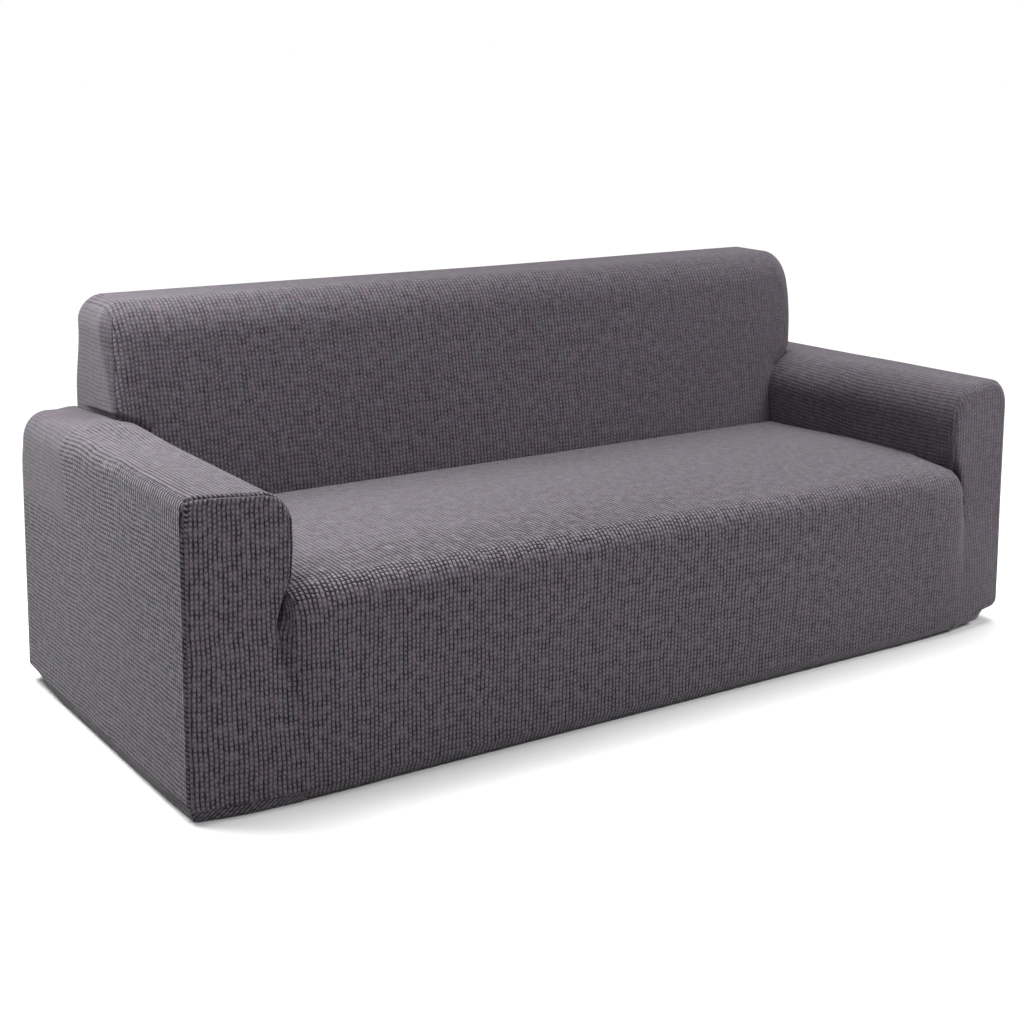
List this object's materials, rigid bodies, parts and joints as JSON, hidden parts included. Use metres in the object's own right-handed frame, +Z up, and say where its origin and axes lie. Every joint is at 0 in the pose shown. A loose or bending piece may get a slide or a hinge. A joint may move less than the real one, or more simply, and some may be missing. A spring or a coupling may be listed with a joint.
{
  "type": "sofa slipcover",
  "caption": "Fitted stretch slipcover in the shape of the wide sofa it sits on, hollow and open underneath, in dark grey cloth with small raised checks.",
  "frame": {"origin": "under the cloth at the middle of the back's top edge, where the sofa's back holds the cover up", "axes": "+X along the sofa's width, to the right as seen from the front; +Y from the front to the rear; +Z up"},
  "size_m": [2.1055, 0.8883, 0.8289],
  "materials": {
    "stretch_jacquard": "dark warm grey stretch jacquard with small raised checks, matt"
  },
  "bodies": {
    "root": {"seat_panel": "stretch_jacquard", "back_panel": "stretch_jacquard", "back_end_left": "stretch_jacquard", "back_end_right": "stretch_jacquard", "arm_wrap_left": "stretch_jacquard", "arm_wrap_right": "stretch_jacquard", "arm_front_left": "stretch_jacquard", "arm_front_right": "stretch_jacquard", "rear_panel": "stretch_jacquard"}
  },
  "joints": []
}
